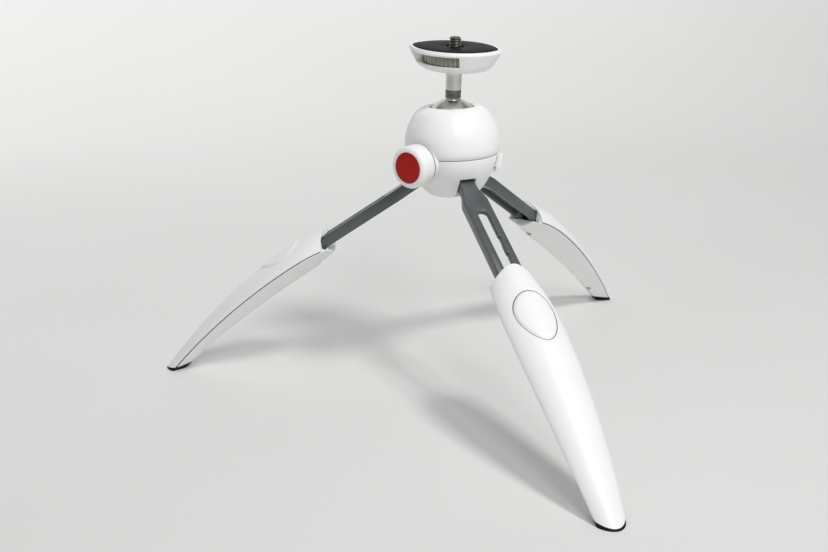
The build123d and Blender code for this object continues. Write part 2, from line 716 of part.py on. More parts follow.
with BuildPart() as rubber_pad:
    with BuildSketch(Plane.XY.offset(DECK_TOP)):
        add(leaf(PAD_HALF_LENGTH, PAD_HALF_WIDTH, 0.8))
        Circle(PAD_HOLE_R, mode=Mode.SUBTRACT)
    extrude(amount=PAD_TOP - DECK_TOP)

with BuildPart() as thumb_wheel:
    with BuildSketch(Plane.XY.offset(WHEEL_BOTTOM)):
        Circle(WHEEL_R)
        Circle(SHANK_R, mode=Mode.SUBTRACT)
        with PolarLocations(WHEEL_R, WHEEL_RIBS):
            Circle(0.55, mode=Mode.SUBTRACT)
    extrude(amount=WHEEL_TOP - WHEEL_BOTTOM)

with BuildPart() as camera_screw:
    with BuildSketch(Plane.XY.offset(THREAD_BOTTOM)):
        Circle(CAMERA_SCREW_R)
    extrude(amount=CAMERA_SCREW_TOP - THREAD_BOTTOM)
    chamfer(faces().sort_by(Axis.Z)[-1].edges(), TIP_CHAMFER)
    with BuildSketch(Plane.XY.offset(WHEEL_BOTTOM)):
        Circle(SHANK_R)
    extrude(amount=THREAD_BOTTOM - WHEEL_BOTTOM)
    with BuildSketch(Plane.XY.offset(CAMERA_SCREW_TOP - TIP_CHAMFER)):
        Rectangle(1.0, 8)
    extrude(amount=2, mode=Mode.SUBTRACT)

with BuildPart() as screw_clip:
    with BuildSketch(Plane.XY.offset(DECK_TOP + 0.2)):
        Circle(4.3)
        Circle(SHANK_R, mode=Mode.SUBTRACT)
    extrude(amount=0.6)

head_pieces = {
    "lower_housing": lower_housing, "upper_housing": upper_housing, "base_cap": base_cap,
    "base_screw": base_screw, "housing_screws": housing_screws, "lock_wedge": lock_wedge,
    "pressure_cup": pressure_cup, "knob_shaft": knob_shaft, "knob_clip": knob_clip,
    "knob_body": knob_body, "knob_disc": knob_disc, "stop_ring": stop_ring,
    "selector_tab": selector_tab, "friction_ring": friction_ring,
}
for piece_name, piece in head_pieces.items():
    save(piece.part, piece_name)

plate_pieces = {
    "ball_stem": ball_stem, "plate_neck": plate_neck, "plate_shell": plate_shell,
    "stem_screw": stem_screw, "rubber_pad": rubber_pad, "thumb_wheel": thumb_wheel,
    "camera_screw": camera_screw, "screw_clip": screw_clip,
}
for piece_name, piece in plate_pieces.items():
    save(stem_location * piece.part, piece_name)
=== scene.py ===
# %% [markdown]
# # A white mini tripod with a ball head
#
# This lesson dresses a small table tripod: three white plastic legs that slide on
# slate-grey metal bars, a domed head with a ball in it, and a leaf-shaped camera plate.
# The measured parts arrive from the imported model. They fix every size and every joint,
# so the work here is the visible surface: rounded forms, seams, threads and finishes.

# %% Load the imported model
import json
from math import cos, pi, radians, sin

import bmesh
import bpy
from mathutils import Matrix, Vector

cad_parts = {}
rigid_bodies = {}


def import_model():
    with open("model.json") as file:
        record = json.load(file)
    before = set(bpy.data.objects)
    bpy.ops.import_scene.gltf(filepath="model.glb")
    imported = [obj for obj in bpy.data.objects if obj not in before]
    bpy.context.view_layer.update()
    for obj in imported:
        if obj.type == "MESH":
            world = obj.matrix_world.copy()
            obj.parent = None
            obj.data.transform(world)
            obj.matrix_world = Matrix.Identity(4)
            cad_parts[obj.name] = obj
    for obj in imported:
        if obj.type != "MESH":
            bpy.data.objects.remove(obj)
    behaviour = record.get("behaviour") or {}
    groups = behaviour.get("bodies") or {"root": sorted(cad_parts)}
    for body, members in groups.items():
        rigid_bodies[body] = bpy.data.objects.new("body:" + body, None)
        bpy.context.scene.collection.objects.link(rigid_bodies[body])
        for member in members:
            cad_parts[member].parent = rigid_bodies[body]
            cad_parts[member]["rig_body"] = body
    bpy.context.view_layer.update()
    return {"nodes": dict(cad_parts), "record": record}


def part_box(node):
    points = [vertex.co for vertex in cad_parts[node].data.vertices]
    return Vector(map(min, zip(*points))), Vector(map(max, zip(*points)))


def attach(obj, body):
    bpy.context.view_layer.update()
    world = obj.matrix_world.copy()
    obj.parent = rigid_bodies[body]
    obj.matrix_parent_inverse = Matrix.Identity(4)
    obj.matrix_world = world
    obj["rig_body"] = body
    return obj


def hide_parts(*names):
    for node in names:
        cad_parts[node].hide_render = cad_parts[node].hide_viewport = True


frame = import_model()
MM = 0.001
LEGS = ("front", "right", "left")

# %% [markdown]
# ## Three working frames
#
# A leg is easier to draw along its own bar than in the room, and all three legs are the
# same. So each leg gets a matrix that carries millimetres on its hinge to metres in the
# room: x runs down the bar, y across it and z out of its upper face. The camera plate
# gets one too, with its origin at the ball's centre. The hinge pins and the thumb wheel
# say where these frames are, so nothing is placed by eye.

# %% Frames of the legs, the stem and the head
LEG_SLOPE = radians(33)
BALL_R = 13.8
PLATE_AZIMUTH = radians(-34.8)
UP = Vector((0, 0, 1))


def centre(node):
    """Middle of a part's box."""
    low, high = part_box(node)
    return (low + high) / 2


def frame_matrix(x_axis, z_axis, origin):
    """Millimetres in a working frame to metres in the room."""
    z_axis = z_axis.normalized()
    x_axis = (x_axis - z_axis * x_axis.dot(z_axis)).normalized()
    turn = Matrix((x_axis, z_axis.cross(x_axis), z_axis)).transposed().to_4x4()
    return Matrix.Translation(origin) @ turn @ Matrix.Scale(MM, 4)


def leg_matrix(leg):
    """Frame on a leg's hinge pin."""
    hinge = centre(f"{leg}_pivot_pin")
    out = Vector((hinge.x, hinge.y, 0)).normalized()
    along = out * cos(LEG_SLOPE) - UP * sin(LEG_SLOPE)
    normal = out * sin(LEG_SLOPE) + UP * cos(LEG_SLOPE)
    return frame_matrix(along, normal, hinge)


leg_frames = {leg: leg_matrix(leg) for leg in LEGS}
ball_centre = Vector((0, 0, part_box("ball_stem")[0].z + BALL_R * MM))
plate_axis = Vector((cos(PLATE_AZIMUTH), sin(PLATE_AZIMUTH), 0))
stem_frame = frame_matrix(plate_axis, centre("thumb_wheel") - ball_centre, ball_centre)
head_frame = Matrix.Scale(MM, 4)
knob_out = centre("knob_disc")
knob_out.z = 0
knob_frame = frame_matrix(UP, knob_out, Vector((0, 0, centre("knob_disc").z)))
print("ball centre", [round(v, 4) for v in ball_centre])

# %% [markdown]
# ## Camera
#
# The camera stands about half a metre away and a little above the head, and looks down
# by eighteen degrees. Its three axes are written out, so that it needs no target object.

# %% Camera
CAMERA_AT = Vector((-0.2060, -0.4900, 0.2351))
CAMERA_HEADING = radians(69.6)
CAMERA_PITCH = radians(18.06)
CAMERA_ROLL = radians(-1.6)
LENS = 43.9
looking = Vector((cos(CAMERA_PITCH) * cos(CAMERA_HEADING),
                  cos(CAMERA_PITCH) * sin(CAMERA_HEADING), -sin(CAMERA_PITCH)))
level_right = Vector((sin(CAMERA_HEADING), -cos(CAMERA_HEADING), 0))
level_up = level_right.cross(looking)
right = level_right * cos(CAMERA_ROLL) + level_up * sin(CAMERA_ROLL)
camera_data = bpy.data.cameras.new("camera")
camera_data.lens = LENS
camera_data.sensor_width = 36
camera_data.clip_start = 0.01
camera = bpy.data.objects.new("camera", camera_data)
camera.matrix_world = Matrix.Translation(CAMERA_AT) @ Matrix(
    (right, right.cross(looking), -looking)).transposed().to_4x4()
bpy.context.scene.collection.objects.link(camera)
bpy.context.scene.camera = camera
print("camera", round((CAMERA_AT - centre("ball_stem")).length, 3), "m from the ball")

# %% [markdown]
# ## Floor and light
#
# The tripod stands on a seamless pale sweep: a flat floor that curves up into a wall far
# behind it. A grid gives the floor, and its far rows are bent upwards. The main light is
# a soft panel in front and to the right, a second, lower panel stands closer to the
# camera, and a wide dim one above fills the left. They leave soft shadows behind the legs.

# %% Sweep, panels and sky
SWEEP_START = 0.75
SWEEP_RADIUS = 0.6
sweep = bmesh.new()
bmesh.ops.create_grid(sweep, x_segments=12, y_segments=90, size=2.6)
for vert in sweep.verts:
    far = vert.co.y - SWEEP_START
    if far > 0:
        turn = min(far / SWEEP_RADIUS, pi / 2)
        climb = max(far - SWEEP_RADIUS * pi / 2, 0)
        vert.co.y = SWEEP_START + SWEEP_RADIUS * sin(turn)
        vert.co.z = SWEEP_RADIUS * (1 - cos(turn)) + climb
bmesh.ops.rotate(sweep, verts=sweep.verts, cent=(0, 0, 0),
                 matrix=Matrix.Rotation(CAMERA_HEADING - pi / 2, 3, "Z"))
floor_mesh = bpy.data.meshes.new("floor")
sweep.to_mesh(floor_mesh)
sweep.free()
floor_mesh.shade_smooth()
floor = bpy.data.objects.new("floor", floor_mesh)
bpy.context.scene.collection.objects.link(floor)


def panel(name, azimuth, height, distance, size, watts):
    """Square light that faces the head of the tripod."""
    data = bpy.data.lights.new(name, "AREA")
    data.size = size
    data.energy = watts
    lamp = bpy.data.objects.new(name, data)
    azimuth, height = radians(azimuth), radians(height)
    away = Vector((cos(azimuth) * cos(height), sin(azimuth) * cos(height), sin(height)))
    lamp.matrix_world = Matrix.Translation(away * distance + UP * 0.1) @ (
        away.to_track_quat("Z", "Y").to_matrix().to_4x4())
    bpy.context.scene.collection.objects.link(lamp)


panel("key", -71, 53, 1.3, 0.22, 9)
panel("second", -95, 37, 1.4, 0.3, 4)
panel("fill", 190, 50, 1.6, 1.2, 1)
world = bpy.data.worlds.new("sky")
world.use_nodes = True
world.node_tree.nodes["Background"].inputs["Color"].default_value = (0.93, 0.95, 0.96, 1)
world.node_tree.nodes["Background"].inputs["Strength"].default_value = 0.34
bpy.context.scene.world = world
bpy.context.scene.view_settings.view_transform = "Standard"
print("floor vertices", len(floor_mesh.vertices))

# %% [markdown]
# ## Shader maths as plain expressions
#
# A material is a little program, and it reads best as one. `Wire` wraps one output
# socket. Its operators add Math nodes, so `noise * 0.1 + 0.5` works as it does on
# numbers, and its one method `node` adds any other node, settings first.

# %% The Wire class
class Wire:
    """One output socket of a material's nodes."""

    def __init__(self, tree, socket=None):
        self.tree = tree
        self.socket = socket

    def node(self, kind, settings=None, stops=None, output=0, **sockets):
        """Add a node, set it up, feed its sockets and return one of its outputs."""
        made = self.tree.nodes.new(kind)
        for name, value in (settings or {}).items():
            setattr(made, name, value)
        if stops:
            ramp = made.color_ramp
            while len(ramp.elements) < len(stops):
                ramp.elements.new(1)
            for element, (place, value) in zip(ramp.elements, stops):
                element.position = place
                element.color = value if isinstance(value, tuple) else (value, value, value, 1)
        for name, value in sockets.items():
            key = int(name[1:]) if name[1:].isdigit() else name.replace("_", " ")
            if isinstance(value, Wire):
                self.tree.links.new(value.socket, made.inputs[key])
            else:
                made.inputs[key].default_value = value
        return Wire(self.tree, made.outputs[output])

    def maths(self, operation, first, second=0.0):
        """One Math node."""
        return self.node("ShaderNodeMath", {"operation": operation}, i0=first, i1=second)

    def __add__(self, other):
        return self.maths("ADD", self, other)

    def __sub__(self, other):
        return self.maths("SUBTRACT", self, other)

    def __rsub__(self, other):
        return self.maths("SUBTRACT", other, self)

    def __mul__(self, other):
        return self.maths("MULTIPLY", self, other)

    __radd__ = __add__
    __rmul__ = __mul__


def place(wire):
    """Where a point is on the object, in metres."""
    return wire.node("ShaderNodeTexCoord", output=3)


def noise(wire, size, detail=2.0, stretch=None):
    """Cloudy pattern from 0 to 1, whose blobs are about size metres across."""
    where = place(wire)
    if stretch:
        where = wire.node("ShaderNodeMapping", i0=where, i3=stretch)
    return wire.node("ShaderNodeTexNoise", i0=where, Scale=1 / size, Detail=detail)


def material(name, paint, **constants):
    """Material whose changing channels are made by paint(wire) as a dictionary."""
    made = bpy.data.materials.new(name)
    made.use_nodes = True
    shader = made.node_tree.nodes["Principled BSDF"]
    for socket, value in constants.items():
        shader.inputs[socket.replace("_", " ")].default_value = value
    for socket, value in paint(Wire(made.node_tree)).items():
        target = shader.inputs[socket]
        if isinstance(value, Wire):
            made.node_tree.links.new(value.socket, target)
        else:
            target.default_value = value
    return made


def tint(wire, mask, dark, light):
    """Colour that goes from dark to light with a mask."""
    return wire.node("ShaderNodeValToRGB", stops=[(0.0, (*dark, 1)), (1.0, (*light, 1))], i0=mask)


def bump(wire, height, depth, strength=1.0):
    """Surface relief that is depth metres high."""
    return wire.node("ShaderNodeBump", Strength=strength, Distance=depth, Height=height)


print("Wire ready")

# %% [markdown]
# ## Finishes
#
# The legs and the head are moulded in satin white plastic. It has a very fine grain and
# a faint cloudiness, so its gloss is never quite even. The bars are painted slate, the
# ball and the neck are turned metal with rings round them, the foot pads and the
# camera's pad are matt rubber. Each finish gets its relief at its real size: fractions
# of a millimetre, and tenths of a millimetre deep at most.

# %% Plastic, paint and rubber
def moulded(colour, rough):
    """Paint for a fine-grained moulding."""
    def paint(wire):
        cloud = noise(wire, 0.012, 3.0)
        grain = noise(wire, 0.00035, 2.0)
        dark = tuple(part * 0.975 for part in colour)
        return {
            "Base Color": tint(wire, cloud, dark, colour),
            "Roughness": cloud * 0.10 + (rough - 0.05) + grain * 0.04,
            "Normal": bump(wire, grain, 0.00002, 0.5),
        }
    return paint


def painted(wire):
    """Slate paint on metal, with fine dust in it and paler rubbed spots."""
    cloud = noise(wire, 0.006, 4.0)
    speck = noise(wire, 0.0003, 2.0)
    rubbed = wire.node("ShaderNodeValToRGB", stops=[(0.62, 0.0), (0.75, 1.0)],
                       i0=noise(wire, 0.0035, 5.0))
    base = tint(wire, cloud, (0.080, 0.093, 0.096), (0.110, 0.125, 0.128))
    worn = wire.node("ShaderNodeMix", {"data_type": "RGBA"}, output=2,
                     i0=rubbed * 0.3, i6=base, i7=(0.16, 0.18, 0.18, 1))
    return {
        "Base Color": worn,
        "Roughness": cloud * 0.12 + 0.26 + speck * 0.06,
        "Normal": bump(wire, speck, 0.00003, 0.5),
    }


def rubber(wire):
    """Black rubber with a coarse matt grain."""
    grain = noise(wire, 0.0006, 4.0)
    dust = noise(wire, 0.008, 4.0)
    return {
        "Base Color": tint(wire, dust, (0.004, 0.004, 0.004), (0.011, 0.011, 0.010)),
        "Roughness": dust * 0.15 + 0.5,
        "Normal": bump(wire, grain, 0.00012, 0.7),
    }


def lacquer(wire):
    """Glossy red enamel with the slightest waviness."""
    wave = noise(wire, 0.004, 1.0)
    return {
        "Base Color": tint(wire, wave, (0.36, 0.0035, 0.0015), (0.43, 0.005, 0.0025)),
        "Roughness": wave * 0.06 + 0.27,
        "Normal": bump(wire, wave, 0.00003, 0.3),
    }


finishes = {
    "white_plastic": material("white_plastic", moulded((0.875, 0.88, 0.868), 0.36)),
    # Dark plastic of the measured inner parts; the seam strips, the button's gap ledge and the
    # knob's ring use it as painted shade.
    "inner_plastic": material("inner_plastic", moulded((0.055, 0.055, 0.058), 0.45)),
    "leg_bar_paint": material("leg_bar_paint", painted, Metallic=0.35, Coat_Weight=0.3,
                              Coat_Roughness=0.25),
    "black_rubber": material("black_rubber", rubber, Specular_IOR_Level=0.15),
    "red_gloss": material("red_gloss", lacquer, Coat_Weight=0.06, Coat_Roughness=0.1,
                          Specular_IOR_Level=0.2),
}
print(len(finishes), "finishes so far")

# %% [markdown]
# ## Metals
#
# Turned metal is streaked round its axis. The streaks come from a noise that is
# stretched to a thin disc: very fine along the axis and slow round it. Screws and pins
# are plain steel with small scratches.

# %% Turned and plain metals
def turned(colour, rough, streak=0.00025):
    """Paint for a lathe-turned metal."""
    def paint(wire):
        rings = noise(wire, 0.02, 2.0, stretch=(1, 1, 0.02 / streak))
        cloud = noise(wire, 0.008, 3.0)
        dark = tuple(part * 0.86 for part in colour)
        return {
            "Base Color": tint(wire, cloud, dark, colour),
            "Roughness": rings * 0.14 + (rough - 0.07),
            "Normal": bump(wire, rings, 0.00002, 0.4),
        }
    return paint


def scratched(colour, rough):
    """Paint for plain metal with fine scratches."""
    def paint(wire):
        scratch = noise(wire, 0.004, 6.0, stretch=(1, 9, 1))
        cloud = noise(wire, 0.003, 3.0)
        dark = tuple(part * 0.8 for part in colour)
        return {
            "Base Color": tint(wire, cloud, dark, colour),
            "Roughness": scratch * 0.25 + (rough - 0.1),
            "Normal": bump(wire, scratch, 0.00001, 0.4),
        }
    return paint


finishes.update({
    "ball_metal": material("ball_metal", turned((0.62, 0.61, 0.58), 0.24), Metallic=1.0),
    "aluminium": material("aluminium", turned((0.66, 0.66, 0.64), 0.36), Metallic=1.0),
    "steel": material("steel", scratched((0.52, 0.51, 0.50), 0.32), Metallic=1.0),
    "dark_steel": material("dark_steel", scratched((0.20, 0.195, 0.18), 0.36), Metallic=1.0),
    "wheel_metal": material("wheel_metal", scratched((0.40, 0.40, 0.33), 0.40), Metallic=0.75),
    "brass": material("brass", scratched((0.70, 0.52, 0.25), 0.34), Metallic=1.0),
})
print(len(finishes), "finishes")

# %% [markdown]
# ## The sweep's paper
#
# A studio sweep gets its own light, brightest far behind the object and to the left.
# Lamps for it would also light the object, so the paper glows a little by itself. Two
# dot products give how far away and how far to the left a point is.

# %% Backdrop
def backdrop(wire):
    """Pale paper with a little soiling and a glow."""
    cloud = noise(wire, 0.35, 3.0)
    speck = noise(wire, 0.002, 2.0)
    spot = place(wire)
    heading = (cos(CAMERA_HEADING), sin(CAMERA_HEADING), 0)
    aside = (-sin(CAMERA_HEADING), cos(CAMERA_HEADING), 0)
    far, left = (wire.node("ShaderNodeVectorMath", {"operation": "DOT_PRODUCT"}, output=1,
                           i0=spot, i1=way) for way in (heading, aside))
    glow = far * 0.42 + left * 0.22 + 0.10
    return {
        "Emission Color": tint(wire, glow, (0, 0, 0), (1.0, 1.0, 0.985)),
        "Base Color": tint(wire, cloud, (0.67, 0.67, 0.655), (0.73, 0.73, 0.72)),
        "Roughness": speck * 0.1 + 0.62,
        "Normal": bump(wire, speck, 0.00005, 0.3),
    }


floor_mesh.materials.append(material("backdrop", backdrop, Emission_Strength=0.6))
print("floor has", len(floor_mesh.materials), "material")

# %% [markdown]
# ## From a drawn shape to a piece
#
# Every new piece goes the same way. It is drawn in millimetres in one of the working
# frames, merged, carried to its place and given outward faces. Then a Solidify modifier
# can give it a wall and a Bevel modifier its moulded edge, because no real edge is
# perfectly sharp and the thin highlight on it is what makes a part look solid.

# %% Curves, lofts, turnings and pieces
def through(points, steps):
    """Smooth curve through a few points, with a number of steps between each two."""
    line = [Vector(point) for point in points]
    line = [line[0] * 2 - line[1]] + line + [line[-1] * 2 - line[-2]]
    curve = []
    for before, start, stop, after in zip(line, line[1:], line[2:], line[3:]):
        for step in range(steps):
            t = step / steps
            curve.append(((start * 2) + (stop - before) * t
                          + (before * 2 - start * 5 + stop * 4 - after) * t * t
                          + (start * 3 - before - stop * 3 + after) * t ** 3) / 2)
    return curve + [line[-2]]


def loft(rows, columns, point):
    """Grid whose corners go where point(row, column) says; both run from 0 to 1."""
    shape = bmesh.new()
    bmesh.ops.create_grid(shape, x_segments=rows, y_segments=columns, size=0.5)
    for vert in shape.verts:
        vert.co = point(vert.co.x + 0.5, vert.co.y + 0.5)
    return shape


def turned_shape(profile, steps=96):
    """Shape turned round z from (radius, height) points; its ends lie on the axis or meet."""
    shape = bmesh.new()
    verts = [shape.verts.new((radius, 0, height)) for radius, height in profile]
    edges = [shape.edges.new(pair) for pair in zip(verts, verts[1:])]
    bmesh.ops.spin(shape, geom=verts + edges, cent=(0, 0, 0), axis=(0, 0, 1), angle=2 * pi,
                   steps=steps, use_merge=True)
    return shape


def piece(shape, name, body, slot, matrix, *nodes, wall=0.0, edge=0.0, corner=40, cutter=None):
    """Carry a shape to its place as a finished piece that stands for CAD nodes."""
    bmesh.ops.remove_doubles(shape, verts=shape.verts, dist=0.002)
    bmesh.ops.transform(shape, matrix=matrix, verts=shape.verts)
    bmesh.ops.recalc_face_normals(shape, faces=shape.faces)
    middle = sum((vert.co for vert in shape.verts), Vector()) / len(shape.verts)
    outward = sum(face.normal.dot(face.calc_center_median() - middle) * face.calc_area()
                  for face in shape.faces)
    if outward < 0:
        bmesh.ops.reverse_faces(shape, faces=shape.faces)
    mesh = bpy.data.meshes.new(name)
    shape.to_mesh(mesh)
    shape.free()
    mesh.shade_smooth()
    mesh.materials.append(finishes[slot])
    made = bpy.data.objects.new(name, mesh)
    bpy.context.scene.collection.objects.link(made)
    if wall:
        skin = made.modifiers.new("wall", "SOLIDIFY")
        skin.thickness = wall * MM
        skin.offset = -1
        skin.use_even_offset = True
    if edge:
        round_off = made.modifiers.new("moulded edge", "BEVEL")
        round_off.width = edge * MM
        round_off.segments = 3
        round_off.limit_method = "ANGLE"
        round_off.angle_limit = radians(corner)
        round_off.harden_normals = True
    if cutter:
        hole = made.modifiers.new("hole", "BOOLEAN")
        hole.operation = "DIFFERENCE"
        hole.object = cutter
        hole.solver = "EXACT"
        bake(made)
    if not edge:
        made.data.set_sharp_from_angle(angle=radians(corner))
    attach(made, body)
    if nodes:
        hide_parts(*nodes)
    return made


def bake(made):
    """Turn a piece's modifiers into its own mesh."""
    now = made.evaluated_get(bpy.context.evaluated_depsgraph_get())
    made.data = bpy.data.meshes.new_from_object(now)
    made.modifiers.clear()


def tool(shape, matrix):
    """Closed shape that only cuts others."""
    bmesh.ops.remove_doubles(shape, verts=shape.verts, dist=0.002)
    bmesh.ops.transform(shape, matrix=matrix, verts=shape.verts)
    bmesh.ops.recalc_face_normals(shape, faces=shape.faces)
    mesh = bpy.data.meshes.new("tool")
    shape.to_mesh(mesh)
    shape.free()
    made = bpy.data.objects.new("tool", mesh)
    bpy.context.scene.collection.objects.link(made)
    return made


def softened(node, slot, edge, corner=32):
    """Copy of a measured part, merged, with rounded edges."""
    shape = bmesh.new()
    shape.from_mesh(frame["nodes"][node].data)
    bmesh.ops.remove_doubles(shape, verts=shape.verts, dist=0.000002)
    bmesh.ops.dissolve_limit(shape, angle_limit=radians(0.6), verts=shape.verts,
                             edges=shape.edges)
    sharp = [line for line in shape.edges
             if len(line.link_faces) == 2 and line.calc_face_angle() > radians(corner)]
    bmesh.ops.bevel(shape, geom=sharp, offset=edge * MM, offset_type="OFFSET", segments=2,
                    profile=0.5, affect="EDGES", clamp_overlap=True, material=-1)
    bmesh.ops.triangulate(shape, faces=[face for face in shape.faces if len(face.verts) > 4])
    mesh = bpy.data.meshes.new(node)
    shape.to_mesh(mesh)
    shape.free()
    mesh.shade_smooth()
    mesh.set_sharp_from_angle(angle=radians(corner + 8))
    mesh.materials.append(finishes[slot])
    made = bpy.data.objects.new(f"{node}_soft", mesh)
    bpy.context.scene.collection.objects.link(made)
    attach(made, frame["nodes"][node]["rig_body"])
    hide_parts(node)
    return made


print("tools ready")

# %% [markdown]
# ## Form of the sliding legs
#
# A lower leg is a long pod. Its upper shell is a low arch, its lower shell a keel with a
# soft ridge, and the two meet at a fine seam that dips towards the toe; its dark line is
# painted shade from a dark strip behind it. A handful of stations says how wide and how
# high each is, and a smooth curve through them gives any section between. At the mouth,
# both shells turn in to the bar.

# %% Sections of a leg
STATIONS = [          # along the bar, half width, crown, seam, keel
    (66, 10.3, 7.2, -3.8, -6.4),
    (72, 11.9, 7.7, -2.8, -8.2),
    (82, 13.6, 8.0, -1.5, -9.7),
    (96, 14.4, 7.8, -1.2, -10.1),
    (115, 14.1, 6.7, -2.0, -10.6),
    (135, 13.0, 4.2, -3.9, -11.8),
    (155, 11.4, 0.4, -6.8, -13.5),
    (175, 9.4, -4.6, -10.6, -15.8),
    (195, 6.9, -10.5, -15.6, -19.9),
    (215, 4.0, -17.4, -21.4, -25.6),
]
SEAM = 0.4            # each shell stops this short of the seam
MOUTH = 66.0
MOUTH_SWEEP = 5.5     # the upper shell's mouth lies further back at its sides
LOWER_MOUTH = 69.5
TOE = 214.0
CAP = 3 / 60          # part of the rows that turns in at the mouth
BAR_ROOM = (6.9, 3.25)    # half width and half height of the hole for the bar
CROWDING = 1.25       # rows lie closer together near the mouth
ARCH = 1.4            # roundness of the upper shell's section
RIDGE = 1.25          # sharpness of the keel's section
LIP = 0.47            # columns further out than this are the lower shell's lip
leg_line = through(STATIONS, 12)


def section(along):
    """Half width, crown, seam and keel at a distance along the bar."""
    for near, far in zip(leg_line, leg_line[1:]):
        if along <= far[0]:
            break
    return near.lerp(far, (along - near[0]) / (far[0] - near[0]))[1:]


def crown_height(along, across):
    """Height of the upper shell's surface over the bar's middle plane."""
    half, crown, seam, _ = section(along)
    side = min(abs(across) / half, 1)
    return seam + (crown - seam) * (1 - side * side) ** 0.7


def upper_point(row, column):
    """Point of the upper shell."""
    turn = (column - 0.5) * pi
    side = sin(turn)
    mouth = MOUTH + MOUTH_SWEEP * side * side
    run = max(row - CAP, 0) / (1 - CAP)
    along = mouth + (TOE - mouth) * run ** CROWDING
    half, crown, seam, _ = section(along)
    height = seam + SEAM + (crown - seam - SEAM) * cos(turn) ** ARCH
    spot = Vector((along, half * side, height))
    if row < CAP:
        steep = min(abs(side) * 1.4, 1)
        low = BAR_ROOM[1] if steep < 1 else seam + SEAM + (BAR_ROOM[1] - seam) * (
            (1 - abs(side)) / (1 - 1 / 1.4))
        at_bar = Vector((mouth + 1.0, BAR_ROOM[0] * steep * (1 if side > 0 else -1), low))
        spot = at_bar.lerp(spot, row / CAP)
    return spot


def lower_point(row, column):
    """Point of the lower shell."""
    side = max(-1, min(1, (column - 0.5) * 2.2))
    run = max(row - CAP, 0) / (1 - CAP)
    along = LOWER_MOUTH + (TOE - LOWER_MOUTH) * run ** CROWDING
    half, _, seam, keel = section(along)
    half -= 0.35
    lip = seam - 0.7
    height = keel + (lip - keel) * abs(side) ** RIDGE
    if abs(column - 0.5) > LIP:
        height = seam - SEAM
    spot = Vector((along, half * side, height))
    if row < CAP:
        steep = max(-1, min(1, side * 1.3))
        low = -BAR_ROOM[1] if abs(column - 0.5) < LIP else seam - SEAM
        spot = Vector((LOWER_MOUTH + 1.0, BAR_ROOM[0] * steep, low)).lerp(spot, row / CAP)
    return spot


print("leg is", round(leg_line[-1][0] - leg_line[0][0]), "mm long")

# %% [markdown]
# ## Shells, button and foot
#
# The shells are two lofts, cut off at the sole. The push button is an egg-shaped cap in
# the upper shell that stands a little proud, with a gap all round whose shade is painted
# by a dark ledge under it. The sole is rubber: the pod's own form between the cut and the
# floor. Its upper face is tilted, so the rubber is thick at the heel and thin at the toe.

# %% Cutting planes and the button's outline
FOOT_R = 168.5
SOLE_HEIGHT = 1.9
SOLE_TILT = radians(12)
PIVOT_R, PIVOT_Z = 13.0, 118.8
level = Vector((cos(LEG_SLOPE), 0, sin(LEG_SLOPE)))
plumb = Vector((-sin(LEG_SLOPE), 0, cos(LEG_SLOPE)))
foot = plumb * -PIVOT_Z + level * (FOOT_R - PIVOT_R)
sole_point = foot + plumb * SOLE_HEIGHT
sole_normal = level * sin(SOLE_TILT) + plumb * cos(SOLE_TILT)
SCREWS = ((79.0, -9.6), (172.0, -15.3))      # station and keel height
SCREW_HOLE_R = 2.05
SHELL_WALL = 1.5
SHELL_EDGE = 0.25
SHADE_STRIP_SPAN = (73, 205)
POD_SPAN = (150, 214.5)
BUTTON_MIDDLE = 97.85
BUTTON_HALF = (14.05, 9.5)                    # half length, half width
BUTTON_TAPER = 0.22
BUTTON_GAP = 0.4
BUTTON_PROUD = 0.55
BUTTON_SKIRT = 0.9                            # how far its side runs down
CAP_TOP = 0.8                                 # part of the rows that lies on its top
EDGE_START = 0.9                              # part of its reach where its edge rounds off


def keep_above(shape, point, normal):
    """Cut a shape and throw away what is below the plane."""
    return bmesh.ops.bisect_plane(
        shape, geom=shape.verts[:] + shape.edges[:] + shape.faces[:], dist=0.0001,
        plane_co=point, plane_no=normal, clear_inner=True)["geom_cut"]


def egg(turn, grow=0.0):
    """Point of the button's outline."""
    return Vector((BUTTON_MIDDLE - (BUTTON_HALF[0] + grow) * cos(turn),
                   (BUTTON_HALF[1] + grow) * sin(turn) * (1 + BUTTON_TAPER * cos(turn)), 0))


def cap_point(row, column):
    """Point of the button: from its middle out over a rounded edge and down its side."""
    spread = min(row / CAP_TOP, 1)
    reach = sin(spread * pi / 2)
    rim = egg(column * 2 * pi)
    spot = Vector((97.0, 0, 0)).lerp(rim, reach)
    past = max(reach - EDGE_START, 0) / 0.1
    round_off = 0.9 * (1 - (1 - past * 0.96) ** 0.5) if reach > EDGE_START else 0
    top = crown_height(spot.x, spot.y) + BUTTON_PROUD - round_off
    sink = max(row - CAP_TOP, 0) / 0.2
    spot.z = top - sink * BUTTON_SKIRT
    return spot


def blade():
    """Egg-shaped cutter for the button's hole."""
    shape = bmesh.new()
    bmesh.ops.create_circle(shape, cap_ends=True, segments=64, radius=1)
    for vert in shape.verts:
        turn = pi - Vector((vert.co.x, vert.co.y)).angle_signed(Vector((1, 0)))
        vert.co = egg(turn, BUTTON_GAP) + Vector((0, 0, -1.5))
    top = bmesh.ops.extrude_face_region(shape, geom=shape.faces[:])["geom"]
    bmesh.ops.translate(shape, vec=(0, 0, 14),
                        verts=[part for part in top if isinstance(part, bmesh.types.BMVert)])
    return shape


def screw_holes():
    """Cutters for the two screw recesses."""
    shape = bmesh.new()
    for along, keel in SCREWS:
        bmesh.ops.create_cone(
            shape, cap_ends=True, segments=40, radius1=SCREW_HOLE_R, radius2=SCREW_HOLE_R,
            depth=5, matrix=Matrix.Translation((along, 0, keel - 0.4)))
    return shape


def foot_point(row, column):
    """Point of the whole pod near its toe."""
    along = POD_SPAN[0] + (POD_SPAN[1] - POD_SPAN[0]) * row
    half, crown, seam, keel = section(along)
    turn = column * 2 * pi
    side, lift = cos(turn), sin(turn)
    if lift > 0:
        return Vector((along, half * side, seam + (crown - seam) * lift ** ARCH))
    return Vector((along, half * side, keel + (seam - keel) * abs(side) ** RIDGE))


